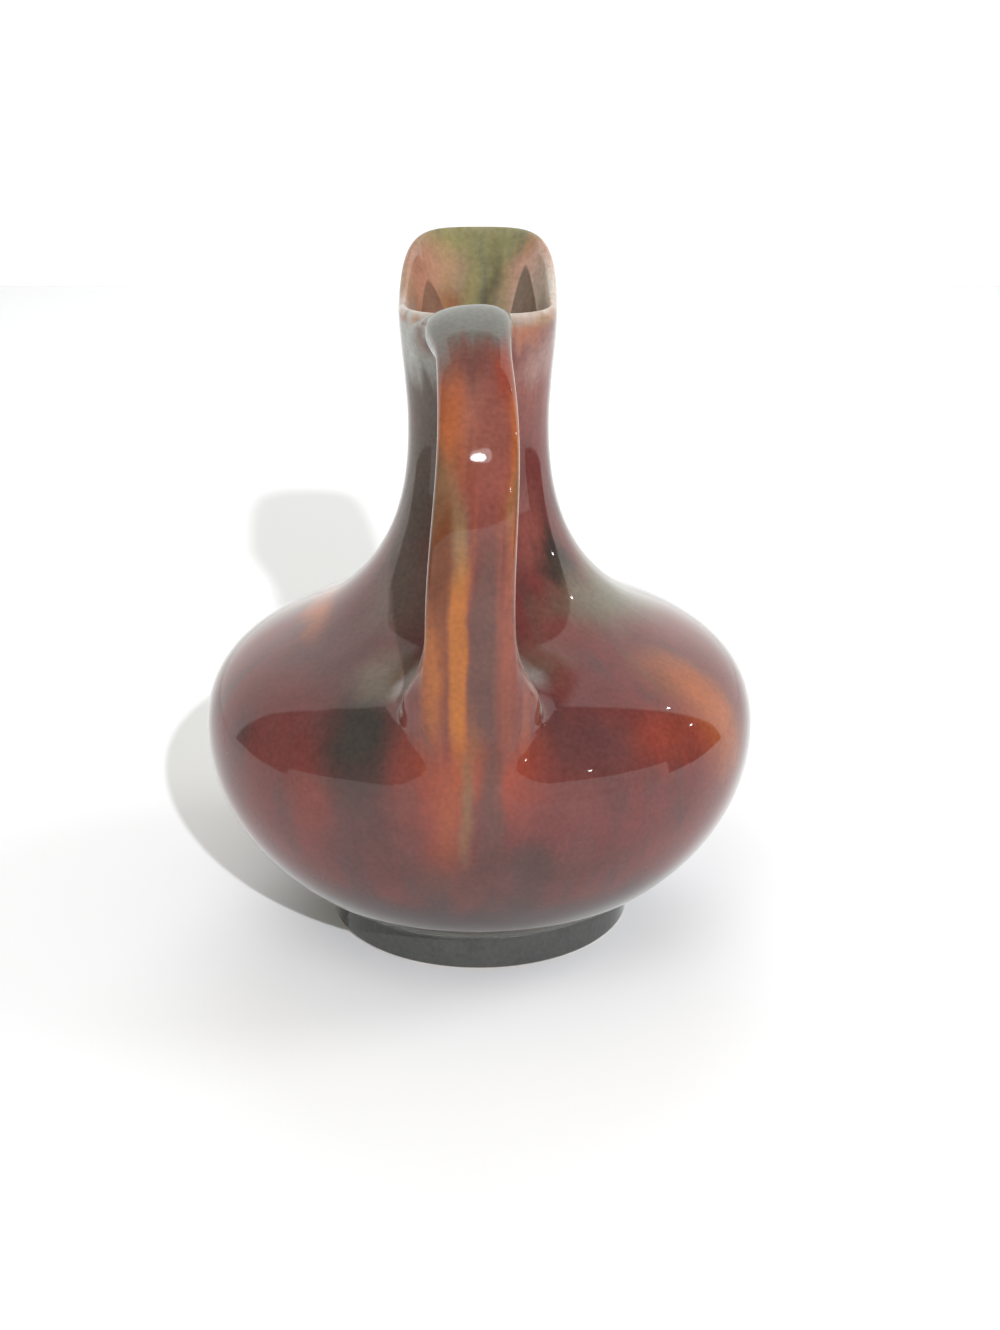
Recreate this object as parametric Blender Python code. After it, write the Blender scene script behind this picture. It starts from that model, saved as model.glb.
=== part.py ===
"""A small squat pottery ewer with a slim neck, a raised pouring lip and a strap handle.

Metres, +Z up. The origin is on the table at the centre of the foot. The handle
stands towards -Y and the lip pours towards +Y. The clay members are separate
solids, as a potter makes them before luting them together: foot ring, two
halves of the belly, neck, mouth, strap, and the clay worked round its two ends.
"""

from math import asin, cos, pi, radians, sin, sqrt

import bmesh
import bpy
from mathutils import Vector

# Foot and floor
FOOT_RADIUS = 0.0362
FOOT_HEIGHT = 0.0080
FOOT_RING_WIDTH = 0.0066
FOOT_EDGE_ROUND = 0.0009
BASE_RECESS = 0.0050
FLOOR_THICKNESS = 0.0045

# Belly, with its widest line where the two thrown halves meet
BELLY_RADIUS = 0.0650
BELLY_MIDLINE = 0.0495
WALL = 0.0040

# Shoulder: a full curve from the widest line up to where it turns hollow
SHOULDER_RADIUS = 0.0331
SHOULDER_RISE = 0.0316
SHOULDER_SLOPE = radians(37.8)
SHOULDER_FULLNESS = 0.0214
SHOULDER_TURN = 0.0143

# Neck: a hollow curve up to its waist, then a slight flare up to the rim
NECK_SEAM_RISE = 0.0070
NECK_RADIUS = 0.0161
NECK_RISE = 0.0404
NECK_SWEEP = 0.0198
MOUTH_SEAM_RISE = 0.0105
MOUTH_RISE = 0.0278
MOUTH_FLARE = 0.0017
MOUTH_SWEEP = 0.0094

# Mouth: a softly squared rim that climbs to a lip in front
MOUTH_SQUARENESS = 3.0
LIP_WALL = 0.0032
LIP_REACH = 0.0090
LIP_RISE = 0.0127
LIP_START = 0.0060

# Strap handle
HANDLE_TOP_WIDTH = 0.0160
HANDLE_LOW_WIDTH = 0.0201
HANDLE_WIDENS_FROM = 0.0280
HANDLE_OFFSET = -0.0012
HANDLE_SWAY = 0.0017
HANDLE_SWAY_AT = 0.0450
HANDLE_SWAY_SPAN = 0.0370
HANDLE_THICKNESS = 0.0076
HANDLE_SQUARENESS = 3.2
HANDLE_START_DROP = 0.0034
HANDLE_START_LIFT = 0.0010
HANDLE_CREST_DROP = 0.0023
HANDLE_CREST_PULL = 0.0165
HANDLE_BEND_OUT = 0.0433
HANDLE_BEND_DROP = 0.0539
HANDLE_BEND_PULL = 0.0417
HANDLE_ROOT_RADIUS = 0.0578
HANDLE_ROOT_LEAN = radians(3)

# Clay worked round the two ends of the strap
UPPER_JOIN_LENGTH = 0.0060
UPPER_JOIN_FLARE = 0.0034
UPPER_JOIN_DEPTH = 0.0065
LOWER_JOIN_LENGTH = 0.0180
LOWER_JOIN_FLARE = 0.0060
LOWER_JOIN_TONGUE = 0.0110
LOWER_JOIN_SWELL = 0.0032
LOWER_JOIN_FILLET = 0.0040

# The gap kept at every seam, and how finely the curves are cut
SEAM_GAP = 0.0003
MERGE = 0.000001
TURN_SEGMENTS = 56
CURVE_STEPS = 8
MOUTH_STEPS = 7
LIP_STEPS = 4
HANDLE_SIDES = 20
PATH_STEPS = 24
STRAP_STEPS = 22
JOIN_STEPS = 8
SHARP_ANGLE = radians(40)
ARC_PULL = 0.5523
ROUND = 2.0

# Levels and radii that follow from the sizes above
FOOT_INNER = FOOT_RADIUS - FOOT_RING_WIDTH
SEAT_HEIGHT = FOOT_HEIGHT + SEAM_GAP
FLOOR_TOP = BASE_RECESS + FLOOR_THICKNESS
SHOULDER_HEIGHT = BELLY_MIDLINE + SHOULDER_RISE
NECK_SEAM = SHOULDER_HEIGHT + NECK_SEAM_RISE
WAIST_HEIGHT = SHOULDER_HEIGHT + NECK_RISE
MOUTH_SEAM = WAIST_HEIGHT + MOUTH_SEAM_RISE
RIM_HEIGHT = WAIST_HEIGHT + MOUTH_RISE
MOUTH_RADIUS = NECK_RADIUS + MOUTH_FLARE

# Glaze colours: linear red, green, blue
FOOT_BROWN = (0.050, 0.032, 0.030)
PLUM_BROWN = (0.130, 0.030, 0.026)
OXBLOOD = (0.165, 0.030, 0.018)
BLACK_BROWN = (0.080, 0.030, 0.022)
OLIVE = (0.150, 0.110, 0.035)
ORANGE_RED = (0.270, 0.050, 0.016)
AMBER = (0.300, 0.085, 0.020)
RUST = (0.220, 0.052, 0.020)


def clear_scene():
    for thing in list(bpy.data.objects):
        bpy.data.objects.remove(thing, do_unlink=True)


def glaze(name, colour):
    """A glossy fired glaze of one colour."""
    material = bpy.data.materials.new(name)
    material.use_nodes = True
    shader = material.node_tree.nodes["Principled BSDF"]
    shader.inputs["Base Color"].default_value = (*colour, 1.0)
    shader.inputs["Roughness"].default_value = 0.08
    shader.inputs["Metallic"].default_value = 0.0
    material.diffuse_color = (*colour, 1.0)
    return material


def add_piece(name, shape, colour):
    """Closes a bmesh into an object with its own glaze."""
    bmesh.ops.remove_doubles(shape, verts=shape.verts, dist=MERGE)
    bmesh.ops.recalc_face_normals(shape, faces=shape.faces)
    mesh = bpy.data.meshes.new(name)
    shape.to_mesh(mesh)
    shape.free()
    mesh.shade_smooth()
    mesh.set_sharp_from_angle(angle=SHARP_ANGLE)
    mesh.materials.append(glaze(name + "_glaze", colour))
    piece = bpy.data.objects.new(name, mesh)
    bpy.context.collection.objects.link(piece)
    return piece


def smooth(share):
    """Eases a share from 0 to 1, level at both ends."""
    share = min(max(share, 0), 1)
    return share * share * (3 - 2 * share)


def cubic(start, start_pull, end_pull, end, steps):
    """Points along a cubic curve, both ends included."""
    a, b, c, d = (Vector(point) for point in (start, start_pull, end_pull, end))
    points = []
    for step in range(steps + 1):
        t = step / steps
        s = 1 - t
        points.append(a * s ** 3 + b * 3 * t * s ** 2 + c * 3 * t * t * s + d * t ** 3)
    return points


def bowl_line(radius, brim, bottom, end_radius):
    """Line of a round bowl as (radius, height), from near its bottom up to its brim.

    The bowl passes through the height bottom at the radius end_radius.
    """
    depth = (brim - bottom) / sqrt(1 - (end_radius / radius) ** 2)
    first = asin(end_radius / radius) - pi / 2
    points = []
    for step in range(CURVE_STEPS + 1):
        angle = first * (1 - step / CURVE_STEPS)
        points.append(Vector((radius * cos(angle), brim + depth * sin(angle))))
    return points


def upper_line():
    """Outer line of shoulder, neck and mouth, from the widest line up to the rim."""
    slope = Vector((-cos(SHOULDER_SLOPE), sin(SHOULDER_SLOPE))) * SHOULDER_TURN
    widest = Vector((BELLY_RADIUS, BELLY_MIDLINE))
    turn = Vector((SHOULDER_RADIUS, SHOULDER_HEIGHT))
    waist = Vector((NECK_RADIUS, WAIST_HEIGHT))
    rim = Vector((MOUTH_RADIUS, RIM_HEIGHT))
    fullness = Vector((0, SHOULDER_FULLNESS))
    sweep = Vector((0, NECK_SWEEP))
    flare = Vector((0, MOUTH_SWEEP))
    shoulder = cubic(widest, widest + fullness, turn - slope, turn, CURVE_STEPS)
    neck = cubic(turn, turn + slope, waist - sweep, waist, CURVE_STEPS)
    mouth = cubic(waist, waist + flare, rim - flare, rim, CURVE_STEPS)
    return shoulder + neck[1:] + mouth[1:]


def moved_in(line, distance):
    """The line moved towards the axis, square to itself. A negative distance moves it out."""
    moved = []
    for index, point in enumerate(line):
        before = line[max(index - 1, 0)]
        after = line[min(index + 1, len(line) - 1)]
        along = (after - before).normalized()
        moved.append(point + Vector((-along.y, along.x)) * distance)
    return moved


def radius_at(line, height):
    """Radius of a rising line at a height. Past its ends the end radius holds."""
    if height <= line[0].y:
        return line[0].x
    for low, high in zip(line, line[1:]):
        if height <= high.y:
            return low.x + (high.x - low.x) * (height - low.y) / (high.y - low.y)
    return line[-1].x


def height_at(line, radius):
    """Height at which a line that narrows as it rises first has a radius."""
    for low, high in zip(line, line[1:]):
        if high.x <= radius:
            return low.y + (high.y - low.y) * (low.x - radius) / (low.x - high.x)
    return line[-1].y


def between(line, low, high):
    """The stretch of a rising line between two heights."""
    inside = [point for point in line if low < point.y < high]
    return [Vector((radius_at(line, low), low))] + inside + [Vector((radius_at(line, high), high))]


OUTER_BOWL = bowl_line(BELLY_RADIUS, BELLY_MIDLINE, SEAT_HEIGHT, FOOT_RADIUS)
INNER_BOWL = bowl_line(BELLY_RADIUS - WALL, BELLY_MIDLINE, FLOOR_TOP, 0.0)
OUTER_LINE = upper_line()
INNER_LINE = moved_in(OUTER_LINE, WALL)


def turned(name, outline, colour):
    """A solid of revolution. An outline that starts or ends off the axis is closed."""
    shape = bmesh.new()
    corners = [shape.verts.new((radius, 0, height)) for radius, height in outline]
    edges = [shape.edges.new(pair) for pair in zip(corners, corners[1:])]
    if outline[0][0] > MERGE:
        edges.append(shape.edges.new((corners[-1], corners[0])))
    bmesh.ops.spin(shape, geom=corners + edges, axis=(0, 0, 1), cent=(0, 0, 0),
                   angle=2 * pi, steps=TURN_SEGMENTS, use_merge=True)
    return add_piece(name, shape, colour)


def lofted(name, rings, colour, endless=False):
    """A skin over rings of points: capped at both ends, or joined end to end."""
    shape = bmesh.new()
    loops = []
    for ring in rings:
        corners = [shape.verts.new(point) for point in ring]
        loops.append([shape.edges.new(pair) for pair in zip(corners, corners[1:] + corners[:1])])
    pairs = list(zip(loops, loops[1:]))
    if endless:
        pairs.append((loops[-1], loops[0]))
    for lower, upper in pairs:
        bmesh.ops.bridge_loops(shape, edges=lower + upper)
    if not endless:
        for loop in (loops[0], loops[-1]):
            bmesh.ops.edgeloop_fill(shape, edges=loop)
    return add_piece(name, shape, colour)


def squared(angle, squareness):
    """Point in a direction on a unit outline, a circle at ROUND and squarer above it."""
    across, up = cos(angle), sin(angle)
    reach = (abs(across) ** squareness + abs(up) ** squareness) ** (-1 / squareness)
    return across * reach, up * reach


def cut_to_seat(piece, cutter):
    """Cuts a piece back to the surface that it is luted to."""
    cutter.hide_render = True
    cutter.display_type = "WIRE"
    seat = piece.modifiers.new("seat", "BOOLEAN")
    seat.operation = "DIFFERENCE"
    seat.solver = "EXACT"
    seat.object = cutter


def foot_ring():
    outline = [
        (FOOT_RADIUS - FOOT_EDGE_ROUND, 0),
        (FOOT_RADIUS, FOOT_EDGE_ROUND),
        (FOOT_RADIUS, FOOT_HEIGHT),
        (FOOT_INNER, FOOT_HEIGHT),
        (FOOT_INNER, FOOT_EDGE_ROUND),
        (FOOT_INNER + FOOT_EDGE_ROUND, 0),
    ]
    return turned("foot_ring", outline, FOOT_BROWN)


def belly_lower():
    """The lower bowl. Its floor drops into the foot ring, which its wall sits on."""
    brim = BELLY_MIDLINE - SEAM_GAP / 2
    spigot = FOOT_INNER - SEAM_GAP
    outline = [(0, BASE_RECESS), (spigot, BASE_RECESS), (spigot, SEAT_HEIGHT)]
    outline += between(OUTER_BOWL, SEAT_HEIGHT, brim)
    inner = between(INNER_BOWL, FLOOR_TOP, brim)
    outline += inner[::-1]
    return turned("belly_lower", outline, PLUM_BROWN)


def wall_piece(name, low, high, colour):
    """A turned stretch of the wall above the widest line, half a gap short at each end."""
    outer = between(OUTER_LINE, low + SEAM_GAP / 2, high - SEAM_GAP / 2)
    inner = between(INNER_LINE, low + SEAM_GAP / 2, high - SEAM_GAP / 2)
    return turned(name, outer + inner[::-1], colour)


def lip_rise(y):
    """How far the rim has climbed above its level back at a distance towards the lip."""
    return LIP_RISE * smooth((y + LIP_START) / (LIP_START + MOUTH_RADIUS + LIP_REACH))


def mouth_ring(level, inset, lift=0.0):
    """Ring round the mouth, inset from its outside. Level is 0 at the seam, 1 at the rim."""
    low = MOUTH_SEAM + SEAM_GAP / 2
    high = RIM_HEIGHT - LIP_WALL / 2
    height = low + (high - low) * level
    side = radius_at(OUTER_LINE, height) - inset
    front = side + LIP_REACH * level * level
    ring = []
    for step in range(TURN_SEGMENTS):
        across, along = squared(2 * pi * step / TURN_SEGMENTS, ROUND + (MOUTH_SQUARENESS - ROUND) * level)
        y = along * (front if along > 0 else side)
        ring.append(Vector((across * side, y, height + lift + level * lip_rise(y))))
    return ring


def mouth():
    levels = [step / MOUTH_STEPS for step in range(MOUTH_STEPS + 1)]
    rings = [mouth_ring(level, 0) for level in levels]
    for step in range(1, LIP_STEPS):
        angle = pi * step / LIP_STEPS
        rings.append(mouth_ring(1, LIP_WALL / 2 * (1 - cos(angle)), LIP_WALL / 2 * sin(angle)))
    for level in levels[::-1]:
        rings.append(mouth_ring(level, WALL + (LIP_WALL - WALL) * level))
    return lofted("mouth", rings, OLIVE, endless=True)


def handle_path():
    """Middle line of the strap, from inside the neck wall, over the crest, down to the shoulder."""
    start = Vector((0, UPPER_JOIN_DEPTH - MOUTH_RADIUS, RIM_HEIGHT - HANDLE_START_DROP))
    crest = Vector((0, -MOUTH_RADIUS, RIM_HEIGHT - HANDLE_CREST_DROP))
    bend = Vector((0, -NECK_RADIUS - HANDLE_BEND_OUT, crest.z - HANDLE_BEND_DROP))
    root = Vector((0, -HANDLE_ROOT_RADIUS, height_at(OUTER_LINE, HANDLE_ROOT_RADIUS)))
    lean = Vector((0, sin(HANDLE_ROOT_LEAN), -cos(HANDLE_ROOT_LEAN)))
    out = Vector((0, -1, 0))
    down = Vector((0, 0, -1))
    first_run = (start - crest).length * ARC_PULL
    last_run = (bend - root).length * ARC_PULL
    over = cubic(start, start + out * first_run + Vector((0, 0, HANDLE_START_LIFT)),
                 crest - out * first_run, crest, PATH_STEPS)
    round_bend = cubic(crest, crest + out * HANDLE_CREST_PULL,
                       bend - down * HANDLE_BEND_PULL, bend, PATH_STEPS)
    back_in = cubic(bend, bend + down * last_run, root - lean * last_run, root, PATH_STEPS)
    path = over + round_bend[1:] + back_in[1:]
    runs = [path_length(path[:index + 1]) for index in range(len(path))]
    for point, run in zip(path, runs):
        from_sway = abs(run - HANDLE_SWAY_AT) / HANDLE_SWAY_SPAN
        point.x = HANDLE_OFFSET + HANDLE_SWAY * smooth(1 - from_sway)
    return path


def path_length(path):
    return sum((after - before).length for before, after in zip(path, path[1:]))


def along_path(path, distance):
    """Point and direction at a distance along a path, which runs straight on past its end."""
    for before, after in zip(path, path[1:]):
        run = (after - before).length
        if distance <= run:
            break
        distance -= run
    else:
        distance += run
    direction = (after - before).normalized()
    return before + direction * distance, direction


def strap_ring(path, distance, width, outward, inward, squareness=HANDLE_SQUARENESS):
    """Softly squared section across the path, with its two faces set by themselves."""
    middle, direction = along_path(path, distance)
    face = Vector((0, direction.z, -direction.y))
    ring = []
    for step in range(HANDLE_SIDES):
        across, out = squared(2 * pi * step / HANDLE_SIDES, squareness)
        reach = out * (outward if out > 0 else inward)
        ring.append(middle + Vector((across * width / 2, 0, 0)) + face * reach)
    return ring


def strap_width(path, distance):
    share = max(distance - HANDLE_WIDENS_FROM, 0) / (path_length(path) - HANDLE_WIDENS_FROM)
    return HANDLE_TOP_WIDTH + (HANDLE_LOW_WIDTH - HANDLE_TOP_WIDTH) * share


def handle(path):
    first = UPPER_JOIN_DEPTH + UPPER_JOIN_LENGTH + SEAM_GAP
    last = path_length(path) - LOWER_JOIN_LENGTH
    rings = []
    for step in range(STRAP_STEPS + 1):
        distance = first + (last - first) * step / STRAP_STEPS
        half = HANDLE_THICKNESS / 2
        rings.append(strap_ring(path, distance, strap_width(path, distance), half, half))
    return lofted("handle", rings, ORANGE_RED)


def handle_upper_join(path):
    """Clay under and beside the strap where it springs from the back of the rim."""
    last = UPPER_JOIN_DEPTH + UPPER_JOIN_LENGTH
    rings = []
    for step in range(JOIN_STEPS + 1):
        share = step / JOIN_STEPS
        flare = UPPER_JOIN_FLARE * (1 - share) ** 2
        width = strap_width(path, last * share) + 2 * flare
        half = HANDLE_THICKNESS / 2
        rings.append(strap_ring(path, last * share, width, half, half + flare))
    piece = lofted("handle_upper_join", rings, RUST)
    heights = between(OUTER_LINE, NECK_SEAM, MOUTH_SEAM)
    core_rings = []
    for radius, height in heights[:-1]:
        angles = [2 * pi * step / TURN_SEGMENTS for step in range(TURN_SEGMENTS)]
        core_rings.append([Vector((cos(a), sin(a), 0)) * (radius + SEAM_GAP) + Vector((0, 0, height))
                           for a in angles])
    core_rings += [mouth_ring(step / MOUTH_STEPS, -SEAM_GAP) for step in range(MOUTH_STEPS + 1)]
    core_rings.append(mouth_ring(1, -SEAM_GAP, lift=HANDLE_THICKNESS))
    cut_to_seat(piece, lofted("mouth_core", core_rings, OLIVE))
    return piece


def handle_lower_join(path):
    """Clay spread on the shoulder round the foot of the strap, with a tongue down the belly."""
    first = path_length(path) - LOWER_JOIN_LENGTH + SEAM_GAP
    last = path_length(path) + LOWER_JOIN_TONGUE
    half = HANDLE_THICKNESS / 2
    rings = []
    for step in range(JOIN_STEPS * 2 + 1):
        share = step / (JOIN_STEPS * 2)
        spread = smooth(2 * share)
        flare = LOWER_JOIN_FLARE * spread * (1 - share ** 3)
        width = strap_width(path, first) + 2 * flare
        outward = half + LOWER_JOIN_SWELL * share * sqrt(share)
        inward = half + LOWER_JOIN_FILLET * spread
        distance = first + (last - first) * share
        squareness = HANDLE_SQUARENESS + (ROUND - HANDLE_SQUARENESS) * share
        rings.append(strap_ring(path, distance, width, outward, inward, squareness))
    piece = lofted("handle_lower_join", rings, AMBER)
    outer_skin = moved_in(OUTER_BOWL[:-1] + OUTER_LINE, -SEAM_GAP)
    core_line = between(outer_skin, outer_skin[0].y, MOUTH_SEAM)
    core_line = [(0, core_line[0].y)] + core_line + [(0, core_line[-1].y)]
    cut_to_seat(piece, turned("belly_core", core_line, PLUM_BROWN))
    return piece


def main():
    clear_scene()
    foot_ring()
    belly_lower()
    wall_piece("belly_upper", BELLY_MIDLINE, NECK_SEAM, OXBLOOD)
    wall_piece("neck", NECK_SEAM, MOUTH_SEAM, BLACK_BROWN)
    mouth()
    path = handle_path()
    handle(path)
    handle_upper_join(path)
    handle_lower_join(path)


main()
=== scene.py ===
"""Looks of a small glazed pottery ewer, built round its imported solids.

Metres, +Z up. The handle stands towards -Y, the lip pours towards +Y, and the
foot stands on z = 0. Two pieces are made: the pot as one glazed skin, inside and
out, and the strap handle, whose two roots are worked into that skin.
"""

from math import asin, cos, pi, radians, sin, sqrt, tan

import bmesh
import bpy
from mathutils import Matrix, Vector


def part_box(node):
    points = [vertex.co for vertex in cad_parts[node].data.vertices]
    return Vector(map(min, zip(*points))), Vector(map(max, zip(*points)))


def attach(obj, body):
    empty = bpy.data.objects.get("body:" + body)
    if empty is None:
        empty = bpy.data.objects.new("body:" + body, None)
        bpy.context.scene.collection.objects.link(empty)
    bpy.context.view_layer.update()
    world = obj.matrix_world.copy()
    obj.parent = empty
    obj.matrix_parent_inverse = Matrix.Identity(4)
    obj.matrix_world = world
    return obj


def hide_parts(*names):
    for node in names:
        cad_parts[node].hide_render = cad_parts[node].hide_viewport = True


bl_info = {
    "name": "Glazed ewer",
    "version": (1, 0, 0),
    "blender": (4, 5, 0),
    "location": "View3D > Sidebar > Ewer",
    "description": "Builds the glazed skin, the strap handle and the stage of a small pottery ewer",
    "category": "Object",
}

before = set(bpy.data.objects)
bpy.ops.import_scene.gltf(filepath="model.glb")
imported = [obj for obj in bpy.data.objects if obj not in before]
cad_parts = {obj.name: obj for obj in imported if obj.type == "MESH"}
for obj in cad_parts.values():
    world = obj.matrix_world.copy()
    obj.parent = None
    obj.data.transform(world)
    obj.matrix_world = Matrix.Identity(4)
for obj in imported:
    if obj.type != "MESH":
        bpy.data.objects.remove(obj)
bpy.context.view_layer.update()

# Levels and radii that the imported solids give
FOOT_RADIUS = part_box("foot_ring")[1].x
FOOT_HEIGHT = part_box("foot_ring")[1].z
BELLY_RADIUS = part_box("belly_upper")[1].x
BELLY_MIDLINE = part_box("belly_lower")[1].z
NECK_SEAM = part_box("belly_upper")[1].z
MOUTH_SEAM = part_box("neck")[1].z

# Sizes of the clay that the solids were drawn from
SEAM_GAP = 0.0003
FOOT_RING_WIDTH = 0.0066
FOOT_EDGE_ROUND = 0.0012
FOOT_FILLET = 0.0016
BASE_RECESS = 0.0050
FLOOR_THICKNESS = 0.0045
WALL = 0.0040
LIP_WALL = 0.0032
RIM_ROUND = 0.0012
RIM_SLOPE = 0.0070
SHOULDER_RADIUS = 0.0331
SHOULDER_SLOPE = radians(37.8)
SHOULDER_FULLNESS = 0.0214
SHOULDER_TURN = 0.0143
NECK_SEAM_RISE = 0.0070
NECK_RADIUS = 0.0161
NECK_RISE = 0.0404
NECK_SWEEP = 0.0198
MOUTH_RISE = 0.0278
MOUTH_FLARE = 0.0017
MOUTH_SWEEP = 0.0094
MOUTH_SQUARENESS = 3.0
LIP_REACH = 0.0090
LIP_RISE = 0.0127
LIP_START = 0.0060
SHOULDER_HEIGHT = NECK_SEAM - NECK_SEAM_RISE + SEAM_GAP / 2
WAIST_HEIGHT = SHOULDER_HEIGHT + NECK_RISE
RIM_HEIGHT = WAIST_HEIGHT + MOUTH_RISE
RIM_MIDDLE = RIM_HEIGHT - LIP_WALL / 2
MOUTH_RADIUS = NECK_RADIUS + MOUTH_FLARE
FOOT_INNER = FOOT_RADIUS - FOOT_RING_WIDTH
# The inside goes over to the thinner wall within the first third of the mouth
THINNING_PACE = 3

# The middle line of the strap
STRAP_START = (0.0113, 0.1459)
STRAP_START_LIFT = 0.0010
CREST_DROP = 0.0023
CREST_PULL = 0.0165
BEND_OUT = 0.0433
BEND_DROP = 0.0539
BEND_PULL = 0.0417
ROOT_RADIUS = 0.0578
ROOT_LEAN = radians(3)
ARC_PULL = 0.5523
STRAP_OFFSET = -0.0012
STRAP_SWAY = 0.0017
STRAP_SWAY_AT = 0.0450
STRAP_SWAY_SPAN = 0.0370
STRAP_WIDENS_FROM = 0.0280

# How the strap widens and lies down at its crest and at its foot
CREST_RING = 0.0085
FOOT_RING_AT = 0.0100
CREST_SPREAD_RUN = 0.0170
FOOT_SPREAD_RUN = 0.0150
CROWN_ASIDE = 0.25
CORE_INSET = 0.0010
DRAPE_TURN = 1.5
WEB_THINNING = 0.40
FULL_DRAPE = 0.0050

# Where the strap's ends spread out on the pot: the middle of each, how far it reaches from there on the strap's
# outer side (the upper one over a share of the rim's turn) and inner side, how square it is, and how long the
# strap's skin and the pot's wall hold their direction
UPPER_MIDDLE = -0.0052
SHARE_OVER_RIM = 0.70
UPPER_REACHES = (-UPPER_MIDDLE + LIP_WALL / 2 * pi * SHARE_OVER_RIM, 0.0065)
UPPER_SQUARENESS = 2.0
UPPER_PULLS = (0.35, 0.35)
LOWER_MIDDLE = 0.0670
LOWER_REACHES = (-0.0150, -0.0100)
LOWER_SQUARENESS = 2.4
LOWER_PULLS = (0.45, 0.65)
# How the skin of the strap sinks into the wall past its footprint: share of the footprint and depth
RIM_SINKING = ((1.0, 0.0004), (0.92, 0.0010), (0.5, 0.0012), (0.2, 0.0012))
BELLY_SINKING = ((1.04, 0.00006), (1.08, 0.0003), (1.08, 0.0010), (0.94, 0.0014), (0.6, 0.0014), (0.25, 0.0014))

# Where the glaze thins: over this share of the lip's wall round the rim, the distance below the rim at which the
# outside's colours hold again, and on the strap's edges, from a share of the half width and fading to its roots
RIM_THIN_REACH = 0.8
OVER_RIM = 0.0022
EDGE_THIN_FROM = 0.95
EDGE_THIN_SPAN = 0.05
EDGE_THINNESS = 0.3
EDGE_FADE = 2
STRAP_COLOUR_FADE = 1.15

# How finely the skins are cut
TURN_SEGMENTS = 224
BASE_STEPS = 6
FOOT_SIDE_LEVEL = 0.45
BOWL_TURN_UP = 3
BOWL_STEPS = 34
SHOULDER_STEPS = 30
NECK_STEPS = 30
MOUTH_STEPS = 26
ARC_STEPS = 8
RIM_STEPS = 3 * ARC_STEPS
STRAP_SIDES = 72
PATH_STEPS = 40
STRAP_STEPS = 110
ROOT_STEPS = 26
ROUND = 2.0
MERGE = 0.000001


def smooth(share):
    """Eases a share from 0 to 1, level at both ends."""
    share = min(max(share, 0.0), 1.0)
    return share * share * (3 - 2 * share)


def on_cubic(a, b, c, d, t):
    """Point of a cubic curve at a share of the way from a to d."""
    s = 1 - t
    return a * s ** 3 + b * 3 * t * s ** 2 + c * 3 * t * t * s + d * t ** 3


def cubic(start, start_pull, end_pull, end, steps):
    """Points along a cubic curve, both ends included."""
    return [on_cubic(start, start_pull, end_pull, end, step / steps) for step in range(steps + 1)]


def bowl_line(radius, brim, bottom, end_radius, steps):
    """Line of a round bowl as (radius, height), from near its bottom up to its brim."""
    depth = (brim - bottom) / sqrt(1 - (end_radius / radius) ** 2)
    first = asin(end_radius / radius) - pi / 2
    angles = [first * (1 - step / steps) for step in range(steps + 1)]
    return [Vector((radius * cos(angle), brim + depth * sin(angle))) for angle in angles]


def upper_line():
    """Outer line of shoulder, neck and mouth, from the widest line up to the rim."""
    slope = Vector((-cos(SHOULDER_SLOPE), sin(SHOULDER_SLOPE))) * SHOULDER_TURN
    widest = Vector((BELLY_RADIUS, BELLY_MIDLINE))
    turn = Vector((SHOULDER_RADIUS, SHOULDER_HEIGHT))
    waist = Vector((NECK_RADIUS, WAIST_HEIGHT))
    rim = Vector((MOUTH_RADIUS, RIM_HEIGHT))
    fullness = Vector((0, SHOULDER_FULLNESS))
    sweep = Vector((0, NECK_SWEEP))
    flare = Vector((0, MOUTH_SWEEP))
    shoulder = cubic(widest, widest + fullness, turn - slope, turn, SHOULDER_STEPS)
    neck = cubic(turn, turn + slope, waist - sweep, waist, NECK_STEPS)
    mouth = cubic(waist, waist + flare, rim - flare, rim, MOUTH_STEPS)
    return shoulder + neck[1:] + mouth[1:]


def moved_in(line, distance):
    """The line moved towards the axis, square to itself."""
    moved = []
    for index, point in enumerate(line):
        before = line[max(index - 1, 0)]
        after = line[min(index + 1, len(line) - 1)]
        along = (after - before).normalized()
        moved.append(point + Vector((-along.y, along.x)) * distance)
    return moved


def radius_at(line, height):
    """Radius of a rising line at a height. Past its ends the end radius holds."""
    if height <= line[0].y:
        return line[0].x
    for low, high in zip(line, line[1:]):
        if height <= high.y:
            return low.x + (high.x - low.x) * (height - low.y) / (high.y - low.y)
    return line[-1].x


def height_at(line, radius):
    """Height at which a line that narrows as it rises first has a radius."""
    for low, high in zip(line, line[1:]):
        if high.x <= radius:
            return low.y + (high.y - low.y) * (low.x - radius) / (low.x - high.x)
    return line[-1].y


def rounded(before, corner, after, radius):
    """Points of an arc that takes the place of a corner between two points."""
    inward = (before - corner).normalized()
    onward = (after - corner).normalized()
    reach = radius / tan(inward.angle(onward) / 2)
    start, end = corner + inward * reach, corner + onward * reach
    pull = ARC_PULL * reach
    return cubic(start, start - inward * pull, end - onward * pull, end, ARC_STEPS)


OUTER_BOWL = bowl_line(BELLY_RADIUS, BELLY_MIDLINE, FOOT_HEIGHT + SEAM_GAP, FOOT_RADIUS, BOWL_STEPS)
INNER_BOWL = bowl_line(BELLY_RADIUS - WALL, BELLY_MIDLINE, BASE_RECESS + FLOOR_THICKNESS, 0.0, BOWL_STEPS)
OUTER_LINE = upper_line()
INNER_LINE = moved_in(OUTER_LINE, WALL)


def mouth_level(height):
    """Share of the way up from the mouth's seam, where it leaves the round, to its rim."""
    return min(max((height - MOUTH_SEAM) / (RIM_MIDDLE - MOUTH_SEAM), 0.0), 1.0)


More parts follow.
